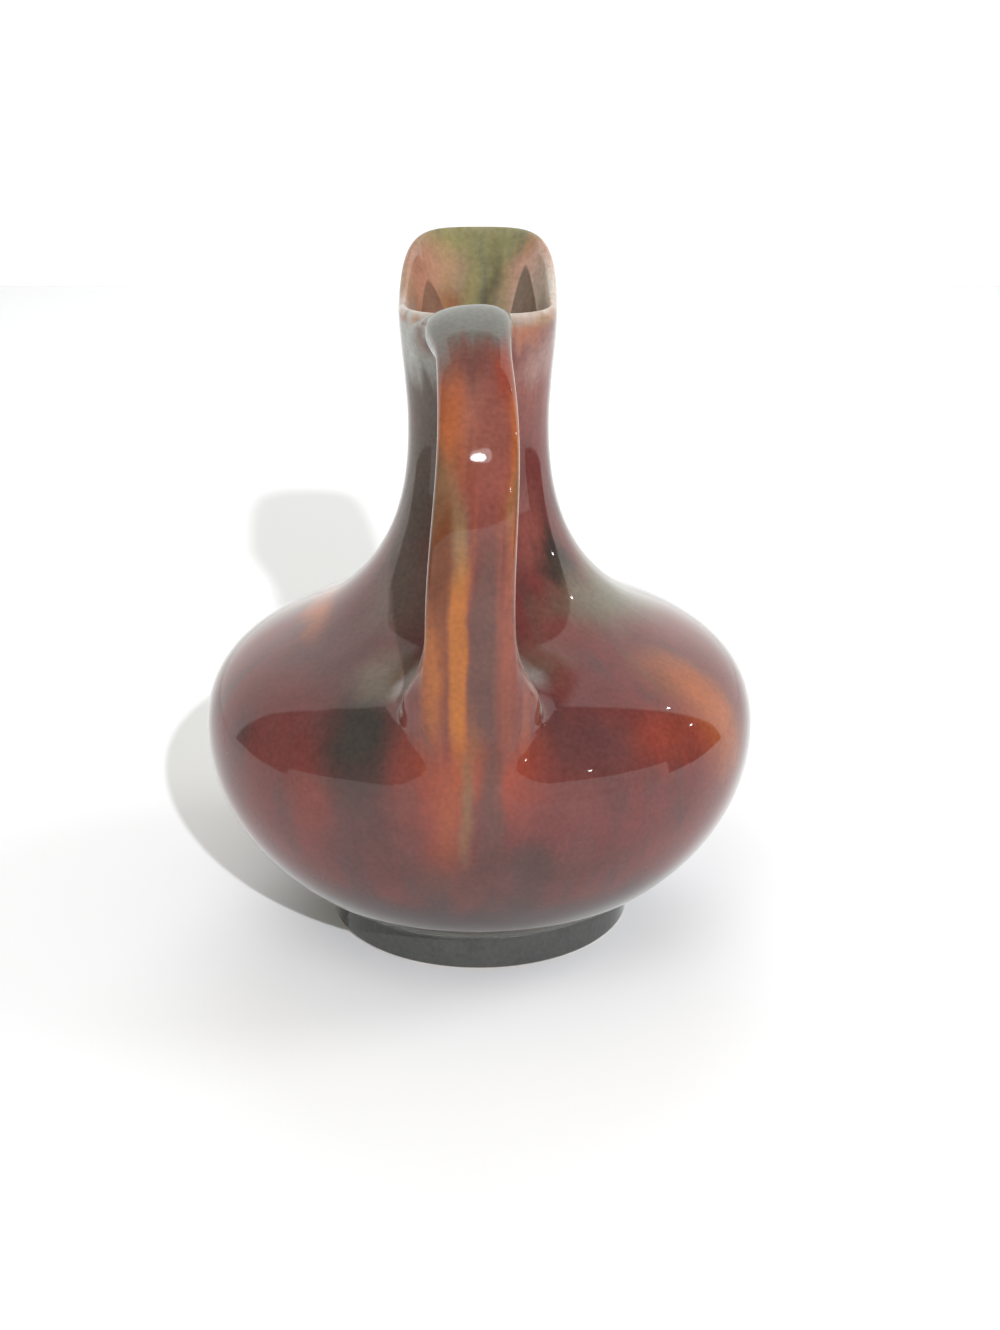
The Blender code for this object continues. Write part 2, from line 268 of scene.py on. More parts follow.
def mouth_squareness(height):
    """How square the mouth's outline is at a height."""
    return ROUND + (MOUTH_SQUARENESS - ROUND) * mouth_level(height)


def inner_radius(height):
    """Radius inside the wall, which thins from the mouth's seam up to the rim."""
    level = mouth_level(height)
    plain = radius_at(INNER_LINE, height)
    thinned = radius_at(OUTER_LINE, height) - (WALL + (LIP_WALL - WALL) * level)
    return plain + (thinned - plain) * smooth(level * THINNING_PACE)


def rim_turn(angle):
    """How far in and up the rim has come at an angle of its turn, from 0 outside to pi inside.

    It rounds quickly outside and slopes down gently inside.
    """
    if angle < pi / 2:
        return RIM_ROUND * (1 - cos(angle)), LIP_WALL / 2 * sin(angle)
    return RIM_ROUND - (LIP_WALL - RIM_ROUND) * cos(angle), LIP_WALL / 2 - RIM_SLOPE * (1 - sin(angle))


def pot_outline():
    """Closed line of the pot's wall as (radius, height), from under its base round to its floor."""
    foot_top = Vector((FOOT_RADIUS, FOOT_HEIGHT))
    foot_bottom = Vector((FOOT_RADIUS, 0))
    inner_bottom = Vector((FOOT_INNER, 0))
    inner_top = Vector((FOOT_INNER, BASE_RECESS))
    base = Vector((0, BASE_RECESS))
    line = [base]
    line += [base.lerp(inner_top, step / BASE_STEPS) for step in range(1, BASE_STEPS)]
    line += rounded(base, inner_top, inner_bottom, FOOT_EDGE_ROUND)
    line += rounded(inner_top, inner_bottom, foot_bottom, FOOT_EDGE_ROUND)
    line += rounded(inner_bottom, foot_bottom, foot_top, FOOT_EDGE_ROUND)
    line.append(foot_bottom.lerp(foot_top, FOOT_SIDE_LEVEL))
    line += rounded(foot_bottom, foot_top, OUTER_BOWL[BOWL_TURN_UP], FOOT_FILLET)
    line += [point for point in OUTER_BOWL[:-1] if point.x > line[-1].x + FOOT_EDGE_ROUND / 2]
    line += [point for point in OUTER_LINE if point.y < RIM_MIDDLE - MERGE]
    for step in range(RIM_STEPS + 1):
        inset, rise = rim_turn(pi * step / RIM_STEPS)
        height = RIM_MIDDLE + rise
        outer = radius_at(OUTER_LINE, min(height, RIM_MIDDLE))
        thickness = max(outer - inner_radius(height), LIP_WALL)
        line.append(Vector((outer - inset * thickness / LIP_WALL, height)))
    heights = [point.y for point in OUTER_LINE if BELLY_MIDLINE < point.y < line[-1].y - MERGE]
    line += [Vector((inner_radius(height), height)) for height in heights[::-1]]
    return line + INNER_BOWL[::-1]


def squared(across, along, squareness):
    """How far a direction reaches on a unit outline, a circle at ROUND and squarer above it."""
    return (abs(across) ** squareness + abs(along) ** squareness) ** (-1 / squareness)


def lip_rise(y):
    """How far the rim has climbed above its level back at a distance towards the lip."""
    return LIP_RISE * smooth((y + LIP_START) / (LIP_START + MOUTH_RADIUS + LIP_REACH))


def shape_mouth(point):
    """Moves a point of the turned wall to where the squared mouth and its lip have it."""
    level = mouth_level(point.z)
    if level <= 0:
        return point
    side = sqrt(point.x ** 2 + point.y ** 2)
    across, along = point.x / side, point.y / side
    reach = squared(across, along, mouth_squareness(point.z))
    front = side + LIP_REACH * level * level
    y = along * reach * (front if along > 0 else side)
    return Vector((across * reach * side, y, point.z + level * lip_rise(y)))


def add_piece(name, shape, material):
    """Closes a bmesh into an object of the scene."""
    mesh = bpy.data.meshes.new(name)
    shape.to_mesh(mesh)
    shape.free()
    mesh.shade_smooth()
    mesh.materials.append(material)
    piece = bpy.data.objects.new(name, mesh)
    bpy.context.collection.objects.link(piece)
    return piece


def glazed_pot(material):
    """The whole pot as one skin: foot, belly, neck, mouth and the inside down to the floor."""
    shape = bmesh.new()
    thin = shape.verts.layers.float.new("thin_glaze")
    inside = shape.verts.layers.float.new("inside")
    corners = [shape.verts.new((radius, 0, height)) for radius, height in pot_outline()]
    rim_top = max(corners, key=lambda corner: corner.co.z)
    for index, corner in enumerate(corners):
        from_rim = (corner.co - rim_top.co).length
        corner[thin] = 1 - smooth(from_rim / (LIP_WALL * RIM_THIN_REACH))
        past_rim = corner.co.z > RIM_MIDDLE or index > corners.index(rim_top)
        corner[inside] = 1.0 if past_rim else smooth(1 - (RIM_MIDDLE - corner.co.z) / OVER_RIM)
    edges = [shape.edges.new(pair) for pair in zip(corners, corners[1:])]
    bmesh.ops.spin(shape, geom=corners + edges, axis=(0, 0, 1), cent=(0, 0, 0),
                   angle=2 * pi, steps=TURN_SEGMENTS, use_merge=True)
    bmesh.ops.remove_doubles(shape, verts=shape.verts, dist=MERGE)
    bmesh.ops.recalc_face_normals(shape, faces=shape.faces)
    for corner in shape.verts:
        corner.co = shape_mouth(corner.co)
    return add_piece("glazed_pot", shape, material)


def strap_path():
    """Middle line of the strap, from inside the back of the rim down to the belly."""
    start = Vector((0, -STRAP_START[0], STRAP_START[1]))
    crest = Vector((0, -MOUTH_RADIUS, RIM_HEIGHT - CREST_DROP))
    bend = Vector((0, -NECK_RADIUS - BEND_OUT, crest.z - BEND_DROP))
    root = Vector((0, -ROOT_RADIUS, height_at(OUTER_LINE, ROOT_RADIUS)))
    lean = Vector((0, sin(ROOT_LEAN), -cos(ROOT_LEAN)))
    out = Vector((0, -1, 0))
    down = Vector((0, 0, -1))
    first_run = (start - crest).length * ARC_PULL
    last_run = (bend - root).length * ARC_PULL
    over = cubic(start, start + out * first_run + Vector((0, 0, STRAP_START_LIFT)),
                 crest - out * first_run, crest, PATH_STEPS)
    round_bend = cubic(crest, crest + out * CREST_PULL, bend - down * BEND_PULL, bend, PATH_STEPS)
    back_in = cubic(bend, bend + down * last_run, root - lean * last_run, root, PATH_STEPS)
    path = over + round_bend[1:] + back_in[1:]
    runs = [path_length(path[:index + 1]) for index in range(len(path))]
    for point, run in zip(path, runs):
        from_sway = abs(run - STRAP_SWAY_AT) / STRAP_SWAY_SPAN
        point.x = STRAP_OFFSET + STRAP_SWAY * smooth(1 - from_sway)
    return path


def path_length(path):
    return sum((after - before).length for before, after in zip(path, path[1:]))


def along_path(path, distance):
    """Point and direction at a distance along a path."""
    for index, (before, after) in enumerate(zip(path, path[1:])):
        run = (after - before).length
        if distance <= run:
            break
        distance -= run
    share = distance / run
    ahead = path[min(index + 2, len(path) - 1)] - before
    behind = after - path[max(index - 1, 0)]
    direction = behind.lerp(ahead, share).normalized()
    return before.lerp(after, share), direction


def pot_point(x, height):
    """Point on the outside of the pot's back at a height and a distance across."""
    line = OUTER_LINE if height > BELLY_MIDLINE else OUTER_BOWL
    side = radius_at(line, height)
    squareness = mouth_squareness(height)
    return Vector((x, -side * (1 - abs(x / side) ** squareness) ** (1 / squareness), height))


def rim_point(x, climb):
    """Point at the back of the mouth, where climb runs up the wall and on over its rounded rim.

    Climb is 0 where the rounding starts, negative below it.
    """
    if climb <= 0:
        return pot_point(x, RIM_MIDDLE + climb)
    wall = pot_point(x, RIM_MIDDLE)
    outward = Vector((wall.x, wall.y, 0)).normalized()
    inset, rise = rim_turn(min(climb / (LIP_WALL / 2), pi))
    return wall - outward * inset + Vector((0, 0, rise))


class Footprint:
    """Where one end of the strap spreads out on the pot: its middle, its half widths and its reaches."""

    def __init__(self, surface, middle, half_widths, reaches):
        self.surface = surface
        self.middle = middle
        self.left, self.right = half_widths
        self.outward, self.inward = reaches

    def point(self, across, out, scale=1.0):
        """Point of the footprint's edge on the pot, or of a ring scaled within it."""
        width = self.right if across > 0 else self.left
        reach = self.outward if out > 0 else self.inward
        return self.surface(STRAP_OFFSET + across * width * scale, self.middle + out * reach * scale)

    def normal(self, across, out, scale):
        """Direction straight out of the pot at a point of the footprint."""
        step, turned = 0.02, 0.05
        aside = self.point(across, out, scale * (1 + step)) - self.point(across, out, scale * (1 - step))
        c, s = cos(turned), sin(turned)
        round_ring = self.point(across * c - out * s, across * s + out * c, scale)
        round_ring -= self.point(across * c + out * s, out * c - across * s, scale)
        normal = aside.cross(round_ring).normalized()
        middle = self.point(0.0, 0.0)
        return normal if normal.dot(Vector((middle.x, middle.y, 0))) > 0 else -normal


def strap_section(sides, squareness):
    """Directions round the strap as (across, out), softly squared."""
    section = []
    for step in range(sides):
        across, out = cos(2 * pi * step / sides), sin(2 * pi * step / sides)
        reach = squared(across, out, squareness)
        section.append((across * reach, out * reach))
    return section


def strap_ring(path, distance, core, half_widths, thickness, section, lift, drape):
    """Ring of the strap at a run from its start.

    Lift raises it in the middle, less towards its edges. Drape lays what is wider than its core back
    towards the pot.
    """
    middle, direction = along_path(path, distance)
    face = Vector((0, direction.z, -direction.y))
    half = thickness / 2
    ring = []
    for across, out in section:
        half_width = half_widths[1] if across > 0 else half_widths[0]
        aside = across * half_width
        raised = lift * (1 - (across - CROWN_ASIDE) ** 2)
        past_core = max(abs(aside) - core, 0) / max(half_width - core, MERGE)
        back = drape * past_core ** DRAPE_TURN
        thinned = 1 - WEB_THINNING * past_core * min(drape / FULL_DRAPE, 1)
        ring.append(middle + Vector((aside, 0, raised)) + face * (out * half * thinned - back))
    return ring


def root_rings(ring, before, section, footprint, squareness, pulls, sinking):
    """Rings that carry the strap's skin on from its last ring.

    They leave it as it leaves the ring before, land on the footprint and go on into the wall.
    """
    circle = []
    for across, out in section:
        size = sqrt(across * across + out * out)
        reach = squared(across / size, out / size, squareness) / size
        circle.append((across * reach, out * reach))
    past_edge = 1.03
    curves = []
    for previous, start, side in zip(before, ring, circle):
        end = footprint.point(*side)
        leave = (footprint.point(*side, scale=past_edge) - end).normalized()
        run = (end - start).length
        start_pull = start + (start - previous).normalized() * run * pulls[0]
        curves.append((start, start_pull, end - leave * run * pulls[1], end))
    rings = [[on_cubic(*curve, step / ROOT_STEPS) for curve in curves] for step in range(1, ROOT_STEPS + 1)]
    for scale, depth in sinking:
        rings.append([footprint.point(*side, scale=scale) - footprint.normal(*side, scale=scale) * depth
                      for side in circle])
    return rings


def strap_handle(sizes, material):
    """The pulled strap with both of its ends worked into the pot."""
    path = strap_path()
    length = path_length(path)
    section = strap_section(STRAP_SIDES, sizes.strap_squareness)
    first, last = CREST_RING, length - FOOT_RING_AT

    def ring_at(distance):
        share = max(distance - STRAP_WIDENS_FROM, 0) / (length - STRAP_WIDENS_FROM)
        half = (sizes.strap_top_width + (sizes.strap_low_width - sizes.strap_top_width) * share) / 2
        at_crest = smooth(1 - (distance - first) / CREST_SPREAD_RUN)
        at_foot = max(1 - (last - distance) / FOOT_SPREAD_RUN, 0) ** 2
        left = half + sizes.crest_spread_left * at_crest + sizes.foot_spread * at_foot
        right = half + sizes.crest_spread_right * at_crest + sizes.foot_spread * at_foot
        return strap_ring(path, distance, half - CORE_INSET * at_foot, (left, right), sizes.strap_thickness,
                          section, sizes.crest_lift * at_crest, sizes.foot_drape * sqrt(at_foot))

    rings = [ring_at(first + (last - first) * step / STRAP_STEPS) for step in range(STRAP_STEPS + 1)]
    upper = Footprint(rim_point, UPPER_MIDDLE, (sizes.upper_spread_left, sizes.upper_spread_right),
                      UPPER_REACHES)
    lower = Footprint(pot_point, LOWER_MIDDLE, (sizes.lower_spread, sizes.lower_spread), LOWER_REACHES)
    up_end = root_rings(rings[0], rings[1], section, upper, UPPER_SQUARENESS, UPPER_PULLS, RIM_SINKING)
    low_end = root_rings(rings[-1], rings[-2], section, lower, LOWER_SQUARENESS, LOWER_PULLS, BELLY_SINKING)
    step_run = (last - first) / STRAP_STEPS
    runs = [first - step_run * step for step in range(len(up_end), 0, -1)]
    runs += [first + step_run * step for step in range(STRAP_STEPS + 1)]
    runs += [last + step_run * step for step in range(1, len(low_end) + 1)]
    rings = up_end[::-1] + rings + low_end
    shape = bmesh.new()
    thin = shape.verts.layers.float.new("thin_glaze")
    along = shape.verts.layers.float.new("along")
    aside = shape.verts.layers.float.new("across")
    on_strap = shape.verts.layers.float.new("on_strap")
    loops = []
    for ring, run in zip(rings, runs):
        corners = [shape.verts.new(point) for point in ring]
        middle = along_path(path, min(max(run, 0), length - MERGE))[0].x
        from_root = max(first - run, run - last, 0) / (ROOT_STEPS * step_run)
        for corner, (across, out) in zip(corners, section):
            at_edge = smooth((abs(across) - EDGE_THIN_FROM) / EDGE_THIN_SPAN)
            corner[thin] = at_edge * smooth(1 - from_root * EDGE_FADE) * EDGE_THINNESS
            corner[along] = run
            corner[aside] = corner.co.x - middle
            corner[on_strap] = smooth(STRAP_COLOUR_FADE - from_root * STRAP_COLOUR_FADE)
        loops.append([shape.edges.new(pair) for pair in zip(corners, corners[1:] + corners[:1])])
    for lower_loop, upper_loop in zip(loops, loops[1:]):
        bmesh.ops.bridge_loops(shape, edges=lower_loop + upper_loop)
    for loop in (loops[0], loops[-1]):
        bmesh.ops.edgeloop_fill(shape, edges=loop)
    bmesh.ops.recalc_face_normals(shape, faces=shape.faces)
    return add_piece("strap_handle", shape, material)


class Wiring:
    """Adds nodes to a node tree and joins them."""

    def __init__(self, tree):
        self.tree = tree

    def put(self, socket, value):
        """Joins a socket to another, or sets it to a value."""
        if isinstance(value, bpy.types.NodeSocket):
            self.tree.links.new(value, socket)
        elif value is not None:
            socket.default_value = value

    def node(self, kind, **values):
        made = self.tree.nodes.new(kind)
        for name, value in values.items():
            setattr(made, name, value)
        return made

    def filled(self, kind, *inputs, **values):
        """A node with its first inputs set in order."""
        made = self.node(kind, **values)
        for socket, value in zip(made.inputs, inputs):
            self.put(socket, value)
        return made

    def place(self):
        return self.node("ShaderNodeTexCoord").outputs["Object"]

    def attribute(self, name):
        return self.node("ShaderNodeAttribute", attribute_name=name).outputs["Fac"]

    def math(self, operation, *inputs):
        return self.filled("ShaderNodeMath", *inputs, operation=operation).outputs[0]

    def vector(self, operation, first, second=None):
        made = self.filled("ShaderNodeVectorMath", first, operation=operation)
        self.put(made.inputs["Scale"] if operation == "SCALE" else made.inputs[1], second)
        return made.outputs["Value"] if operation == "LENGTH" else made.outputs["Vector"]

    def parts(self, vector):
        return self.filled("ShaderNodeSeparateXYZ", vector).outputs

    def joined(self, x, y, z):
        return self.filled("ShaderNodeCombineXYZ", x, y, z).outputs[0]

    def ease(self, value, low, high):
        """0 below low, 1 above high, smooth between."""
        return self.filled("ShaderNodeMapRange", value, low, high, interpolation_type="SMOOTHSTEP").outputs[0]

    def blend(self, share, first, second, kind="MIX"):
        """Colour that goes from the first to the second, or to the first times the second."""
        made = self.node("ShaderNodeMix", data_type="RGBA", blend_type=kind)
        self.put(made.inputs[0], share)
        self.put(made.inputs[6], first)
        self.put(made.inputs[7], second)
        return made.outputs[2]

    def noise(self, vector, scale, detail=2.0, out="Fac"):
        made = self.node("ShaderNodeTexNoise")
        self.put(made.inputs["Vector"], vector)
        self.put(made.inputs["Scale"], scale)
        self.put(made.inputs["Detail"], detail)
        return made.outputs[out]

    def placed(self, vector, middle, turned, half_sizes):
        """The place as a patch has it, 0 in its middle and 1 at its half sizes."""
        return self.filled("ShaderNodeMapping", vector, middle, turned, half_sizes,
                           vector_type="TEXTURE").outputs[0]

    def patch(self, vector, middle, turned, half_sizes, softness, strength):
        """Mask of a soft oval patch, strong in its middle and 0 outside."""
        from_middle = self.vector("LENGTH", self.placed(vector, middle, turned, half_sizes))
        return self.math("MULTIPLY", self.ease(from_middle, 1 + softness, 1 - softness), strength)

    def wedge(self, vector, apex, turned, half_sizes):
        """Mask of a wedge with swelling sides, apex up, that runs on along its third axis."""
        aside, upward, outward = self.parts(self.placed(vector, apex, turned, half_sizes))
        edge = self.math("ADD", self.math("POWER", self.math("ABSOLUTE", aside), WEDGE_SWELL), upward)
        mask = self.ease(edge, WEDGE_SOFTNESS, -WEDGE_SOFTNESS)
        near = self.ease(self.math("ABSOLUTE", outward), *WEDGE_ENDS)
        return self.math("MULTIPLY", self.math("MULTIPLY", mask, near), WEDGE_STRENGTH)


def group(name, outputs):
    """New shader node group with its outputs, and the wiring inside it."""
    tree = bpy.data.node_groups.new(name, "ShaderNodeTree")
    for output, kind in outputs.items():
        tree.interface.new_socket(output, in_out="OUTPUT", socket_type=kind)
    wiring = Wiring(tree)
    return wiring, wiring.node("NodeGroupOutput")


def grouped(wiring, name):
    """Uses a shader node group in another tree."""
    return wiring.node("ShaderNodeGroup", node_tree=bpy.data.node_groups[name]).outputs


def opaque(colour):
    return (*colour, 1.0)


# The tables of patches are in millimetres
MILLIMETRES = 1000

# Patches of colour on the outside of the pot:
# colour, degrees round from the handle (to its right), height, half width, half height, lean, softness, strength
POT_PATCHES = (
    ("plum", -45, 76, 20, 14, 0, 0.7, 0.8),
    ("grey_brown", -42, 88, 10, 11, 0, 0.8, 0.7),
    ("orange", -90, 78.5, 16, 4, -8, 0.7, 0.85),
    ("oxblood", -50, 68, 15, 6, 8, 0.9, 0.7),
    ("deep_green", -26, 66.5, 7.5, 12, 6, 0.7, 1),
    ("deep_green", -22, 52, 6.5, 9, 0, 0.9, 0.65),
    # Painted reflection: faint pale grey green in the hollow beside the strap's foot, where the white backdrop
    # shows
    ("grey_green", -29, 74.5, 6, 6, 0, 0.8, 0.25),
    ("iron_red", -35, 50, 5, 9, 0, 0.9, 0.3),
    ("grey_brown", -50, 120, 7.5, 36, 0, 0.6, 0.9),
    ("deep_green", -42, 108, 4, 12, 0, 0.8, 0.2),
    ("pale_grey", -48, 144, 9, 8, 0, 0.8, 1),
    ("pale_grey", 0, 150, 11, 6, 0, 0.6, 0.9),
    ("pale_grey", -27, 146.5, 8, 7, 0, 0.6, 0.95),
    ("pale_grey", -36, 143, 8, 9, 0, 0.8, 0.8),
    # Painted reflections: pale crescents in the hollows on both sides of the strap's foot, where the white
    # backdrop shows
    ("grey_green", -25, 74.5, 6, 7, 0, 0.8, 0.5),
    ("grey_green", 22, 77, 6, 6, 0, 0.8, 0.5),
    ("pale_grey", -17, 75, 2.2, 5, -25, 0.8, 0.5),
    ("pale_grey", 16.5, 75.5, 2.2, 4.6, 25, 0.8, 0.4),
    ("mauve_pink", 48, 132, 8.5, 20, 0, 0.6, 1),
    ("oxblood", 45, 110, 7, 12, 0, 0.8, 0.9),
    ("mauve_pink", 38, 101, 5, 8, 0, 0.8, 0.7),
    ("terracotta", 34, 148, 4.5, 3, 0, 0.8, 0.6),
    ("orange", 33, 147.5, 4, 3, 0, 0.8, 0.6),
    ("rim_pale", 46, 140, 4, 6, 0, 0.8, 0.2),
    ("deep_green", 52, 92.5, 5.5, 5.5, 0, 0.7, 0.9),
    ("grey_green", 76, 83, 21, 8.5, -12, 0.7, 1),
    ("oxblood", 36, 79, 10, 7, 0, 0.8, 0.8),
    ("orange", 60, 66.5, 14, 7, -62, 0.8, 0.85),
    ("iron_red", 46, 62, 11, 6, -10, 0.8, 0.6),
    ("orange", 62, 54, 8, 8, 0, 0.8, 0.4),
    ("plum", 24, 65, 8, 11, 0, 0.7, 0.8),
    ("oxblood", 20, 48, 14, 12, 0, 0.8, 0.5),
    ("iron_red", 0, 63, 14, 11, 0, 0.5, 1),
    ("iron_red", -9, 48, 6, 12, 0, 0.8, 0.4),
    ("amber", -5, 52, 3.8, 14, 0, 0.8, 0.2),
    ("olive_brown", -1.3, 56, 1.4, 13, 0, 0.8, 0.8),
    ("mauve", 3.6, 54, 2.8, 17, 0, 0.6, 0.9),
    ("mauve", 0, 34, 14, 6, 0, 0.9, 0.6),
    ("plum", 8, 37, 11, 6, 0, 0.8, 0.8),
    ("plum", -24, 40, 11, 11, 0, 0.8, 0.6),
    ("deep_green", 10.5, 37, 4, 8, 0, 0.8, 0.45),
    ("amber", 128, 60, 12, 16, 10, 0.8, 0.7),
    ("deep_green", 178, 82, 10, 20, 0, 0.8, 0.8),
    ("olive", -172, 118, 6, 26, 0, 0.8, 0.6),
    ("iron_red", -140, 64, 15, 14, -8, 0.8, 0.7),
    ("orange", 160, 48, 7, 14, 0, 0.8, 0.6),
)

# Patches inside the mouth, with the same columns
MOUTH_PATCHES = (
    ("terracotta", -132, 154, 9, 12, 0, 0.6, 1),
    ("iron_red", -128, 156, 6, 6, 0, 0.8, 0.2),
    ("terracotta", 134, 154, 8, 12, 0, 0.6, 1),
    ("terracotta", -70, 148, 12, 8, 0, 0.8, 0.8),
    ("terracotta", 70, 148, 12, 8, 0, 0.8, 0.8),
    ("pale_grey", -45, 151, 10, 3, 0, 0.7, 0.9),
    ("pale_grey", 0, 151, 11, 3, 0, 0.7, 0.9),
    ("terracotta", 40, 151, 8, 3, 0, 0.7, 0.5),
    ("rim_pale", 100, 150, 6, 3, 0, 0.8, 0.4),
    ("rim_pale", 132, 157, 6, 4, 0, 0.9, 0.3),
    ("amber", -160, 145, 3, 4, 0, 0.8, 0.5),
    ("olive", -172, 153, 1.3, 12, 0, 0.8, 0.8),
    ("deep_green", 174, 152, 1.6, 11, 0, 0.9, 0.5),
    ("iron_red", -158, 146.5, 3, 4, 0, 0.8, 0.5),
    ("rim_pale", 112, 149, 8.5, 8.5, 0, 0.8, 0.85),
)

# Painted shadows: the dark wedges of shade inside the mouth, as seen from the handle: colour, apex across,
# forward and up, half width at a depth below the apex, that depth, lean
MOUTH_SHADOW_WEDGES = (
    ("shadow_wedge_brown", -11.7, 17, 151.3, 2.6, 7, -9),
    ("shadow_wedge_grey", 10.9, 18, 154.3, 2.9, 9.5, 2),
)
WEDGE_REACH = 0.011
WEDGE_SWELL = 1.5
WEDGE_ENDS = (1.1, 0.9)
WEDGE_SOFTNESS = 0.08
WEDGE_STRENGTH = 0.9

# Runs on the strap: colour, run from its start, distance across, half length, half width, softness, strength
STRAP_RUNS = (
    ("terracotta_brown", 41, -1.5, 14, 10, 0.6, 1),
    ("veil_brown", 24, -3, 8.5, 8.5, 0.7, 0.9),
    ("veil_grey", 12, -1, 12, 15, 0.5, 1),
    ("mauve_pink", 32, 1, 8, 5, 0.8, 0.7),
    ("mauve", 31, 1, 6.5, 5, 0.8, 0.7),
    ("terracotta", 42, 0, 7, 5, 0.8, 0.22),
    ("orange", 43, -6, 10, 2.8, 0.8, 0.8),
    ("mauve_pink", 48, 3, 17, 3.2, 0.7, 0.75),
    ("olive_brown", 58, -6.8, 10, 3.2, 0.6, 0.9),
    ("orange", 54, 8, 19, 1.6, 0.6, 0.9),
    ("olive_brown", 57, 7.8, 6, 1.6, 0.8, 0.7),
    ("iron_red", 30, 6.2, 7, 2, 0.7, 0.7),
    ("amber", 90, -8, 16, 2.4, 0.7, 0.7),
    ("deep_red", 72, -6.4, 11, 2.2, 0.7, 0.9),
    ("deep_red", 80, -5.6, 18, 1.2, 0.8, 0.5),
    ("amber", 90, -2.6, 24, 2, 0.35, 1),
    ("olive", 64, -2.8, 8, 1.4, 0.8, 0.35),
    ("mauve", 96, 2.7, 32, 3.2, 0.3, 1),
    ("terracotta_brown", 88, 7.8, 26, 2.6, 0.5, 0.6),
    ("amber", 112, -1, 10, 3, 0.8, 0.4),
)

# How the pot's glaze has run, as waves of its unevenness and the distances that they move the colours by
STREAK_WAVES = 7.0
STREAK_SHORTNESS = 7.0
STREAK_RUN = 0.014
WANDER_WAVES = 55.0
WANDER = 0.012
NOISE_MIDDLE = (0.5, 0.5, 0.5)
# The same on the strap
STRAP_STREAK_WAVES = 420.0
STRAP_STREAK_SHORTNESS = 0.06
STRAP_STREAK_RUN = 0.016
STRAP_WANDER_WAVES = 70.0
STRAP_WANDER = 0.0028
STRAP_COLOUR_SPLIT = (0.35, 0.65)
# Flecks and soft clouds in the glaze: their waves and how much they lighten it over the darkest shade
FLECK_WAVES = 900.0
FLECKS = 0.55
CLOUD_WAVES = 120.0
CLOUDS = 0.50
DARKEST = 0.475
# How streaks and wide clouds share out the two main colours, outside and inside
WIDE_CLOUD_WAVES = 32.0
STREAK_SHARE = 0.6
WIDE_CLOUD_SHARE = 0.4
OUTSIDE_SPLIT = (0.36, 0.56)
INSIDE_SPLIT = (0.40, 0.60)
# Levels between which the glaze darkens above the foot, greys on the foot, and turns plum inside the neck
LOW_BROWN_LEVELS = (0.036, 0.024)
LOW_BROWN_STREAKS = 0.006
LOW_BROWN_STRENGTH = 0.85
FOOT_GREY_LEVELS = (FOOT_HEIGHT + 0.0024, FOOT_HEIGHT + 0.0008)
DEEP_LEVELS = (0.140, 0.120)
# The skin of the glaze: where thin glaze breaks, how much more it does at the back of the rim, the bare clay
# under the foot, how rough both are, and how uneven the glaze is
BREAK_WAVES = 260.0
BREAKS = (0.25, 0.70)
BACK_OF_RIM = (0.004, -0.012)
WORN_AT_BACK = 0.60
WORN = 0.12
BARE_LEVELS = (0.0007, 0.0003)
BARE_WANDER = 0.0004
BARE_ROUGHNESS = 0.60
GLAZE_ROUGHNESS = 0.05
SLOW_WAVES = 70.0
FINE_WAVES = 600.0
FINE_SHARE = 0.02
RELIEF = 0.00012
# Painted sheen: where the colour pales towards the outline, standing in for the glaze's reflection seen aslant,
# and how much
SHEEN_PAINT_FROM = 0.70
SHEEN_PAINT_SHARE = 0.60


def surface_frame(line, azimuth, height, depth=0.0):
    """Point on the turned wall at an angle round and a height, and its side and upward directions."""
    step = 0.0005
    radius = radius_at(line, height)
    rise = Vector((0, radius_at(line, height + step) - radius_at(line, height - step), 2 * step)).normalized()
    out = Vector((sin(azimuth), -cos(azimuth), 0))
    side = Vector((cos(azimuth), sin(azimuth), 0))
    upward = out * rise.y + Vector((0, 0, rise.z))
    return out * (radius - depth) + Vector((0, 0, height)), side, upward


def painted(wiring, place, colour, patches, palette, line, depth=0.0):
    """Lays oval patches of glaze on a colour, one over another."""
    for name, degrees, height, half_width, half_height, lean, softness, strength in patches:
        middle, side, upward = surface_frame(line, radians(degrees), height / MILLIMETRES, depth)
        turned = Matrix((side, upward, side.cross(upward))).transposed() @ Matrix.Rotation(radians(lean), 3, "Z")
        sizes = [size / MILLIMETRES for size in (half_width, half_height, max(half_width, half_height))]
        mask = wiring.patch(place, middle, turned.to_euler(), sizes, softness, strength)
        colour = wiring.blend(mask, colour, opaque(getattr(palette, name)))
    return colour


def painted_mouth_shadows(wiring, place, colour, palette):
    """Paints the two dark wedges of shadow that stand in the front corners of the mouth."""
    upright = Matrix.Rotation(radians(180), 3, "Z") @ Matrix.Rotation(radians(90), 3, "X")
    for name, *sizes, lean in MOUTH_SHADOW_WEDGES:
        across, forward, height, half_width, depth = (size / MILLIMETRES for size in sizes)
        turned = upright @ Matrix.Rotation(radians(lean), 3, "Z")
        mask = wiring.wedge(place, (across, forward, height), turned.to_euler(), (half_width, depth, WEDGE_REACH))
        colour = wiring.blend(mask, colour, opaque(getattr(palette, name)))
    return colour


